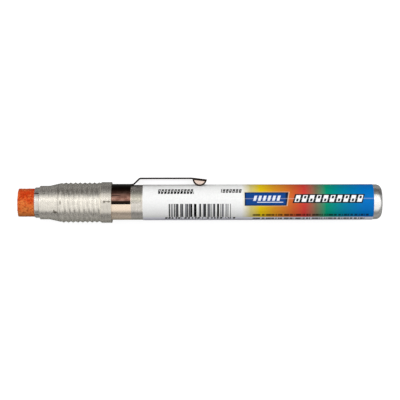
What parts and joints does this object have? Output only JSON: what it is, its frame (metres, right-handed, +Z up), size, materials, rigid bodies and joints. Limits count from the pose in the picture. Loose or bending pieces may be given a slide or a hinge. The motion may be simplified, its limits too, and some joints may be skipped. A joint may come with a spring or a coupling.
{
  "type": "temperature indicating stick",
  "caption": "Round melting crayon in a slim metal pen with a screwed clamp sleeve over a split collet, a closed body tube, a spring pocket clip and a wrapped label.",
  "frame": {"origin": "under the middle of the whole object's box, on the surface that the pen lies on", "axes": "+X along the pen from the crayon's tip to the closed rear end, +Z up, and the clip to the +Y side, dipped to touch the surface"},
  "size_m": [0.1212, 0.0152, 0.0137],
  "materials": {
    "crayon": "pressed wax and pigment, matte and grainy",
    "collet": "bright turned",
    "sleeve": "bright rolled",
    "tube": "bright drawn",
    "clip": "polished, copper coloured",
    "label": "printed film, white at the front and a band of colours at the rear"
  },
  "bodies": {
    "holder": {"body_tube": "tube", "pocket_clip": "clip", "label": "label"},
    "chuck": {"collet": "collet"},
    "sleeve": {"clamp_sleeve": "sleeve"},
    "stick": {"crayon_stick": "crayon"}
  },
  "joints": [
    {"name": "collet_advance", "type": "slide", "parent": "holder", "child": "chuck", "axis": [-1, 0, 0], "range_m": [0, 0.00953]},
    {"name": "sleeve_turn", "type": "hinge", "parent": "chuck", "child": "sleeve", "pos_m": [-0.04131, -0.00072, 0.00685], "axis": [-1, 0, 0], "range_deg": [0, 2161]},
    {"name": "crayon_slide", "type": "slide", "parent": "holder", "child": "stick", "axis": [-1, 0, 0], "range_m": [-0.0051, 0.1]}
  ],
  "couplings": [
    {"joint": "sleeve_turn", "follows": "collet_advance", "rad_per_m": 3957.9}
  ]
}
